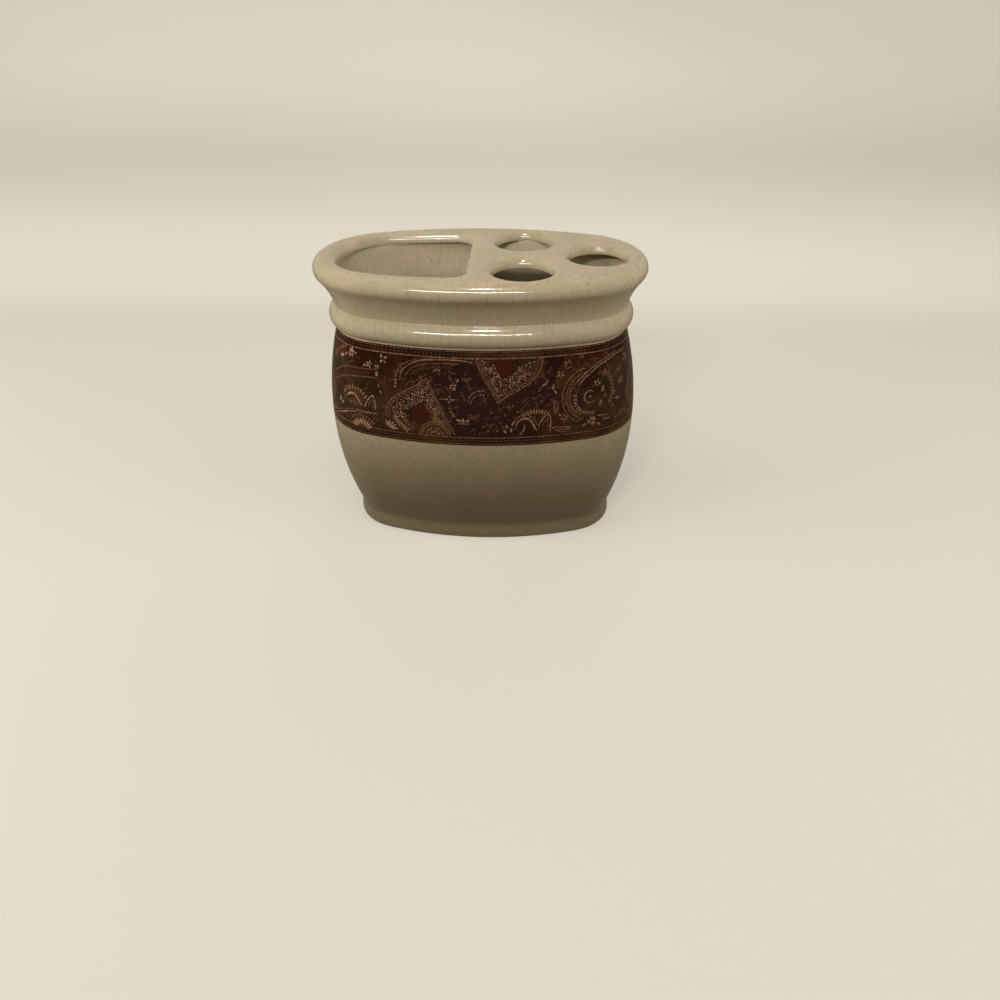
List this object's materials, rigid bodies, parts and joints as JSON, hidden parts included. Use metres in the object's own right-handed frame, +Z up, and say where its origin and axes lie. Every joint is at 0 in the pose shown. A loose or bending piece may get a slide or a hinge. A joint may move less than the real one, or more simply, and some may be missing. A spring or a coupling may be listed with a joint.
{
  "type": "toothbrush holder",
  "caption": "Oval ceramic toothbrush holder: deck with a large opening for a toothpaste tube and round brush holes, rolled rim, bead and a printed paisley band.",
  "frame": {"origin": "centre of the foot's underside, on the surface that the holder stands on", "axes": "+Z up, -Y towards the front, +X towards the side with the brush holes"},
  "size_m": [0.114, 0.061, 0.104],
  "materials": {
    "glaze": "gloss",
    "foot_glaze": "gloss",
    "transfer": "gloss"
  },
  "bodies": {
    "root": {"body": "glaze", "foot_ring": "foot_glaze", "bead_ring": "glaze", "rim": "glaze", "deck": "glaze", "partition": "glaze", "transfer_front": "transfer", "transfer_back": "transfer"}
  },
  "joints": []
}
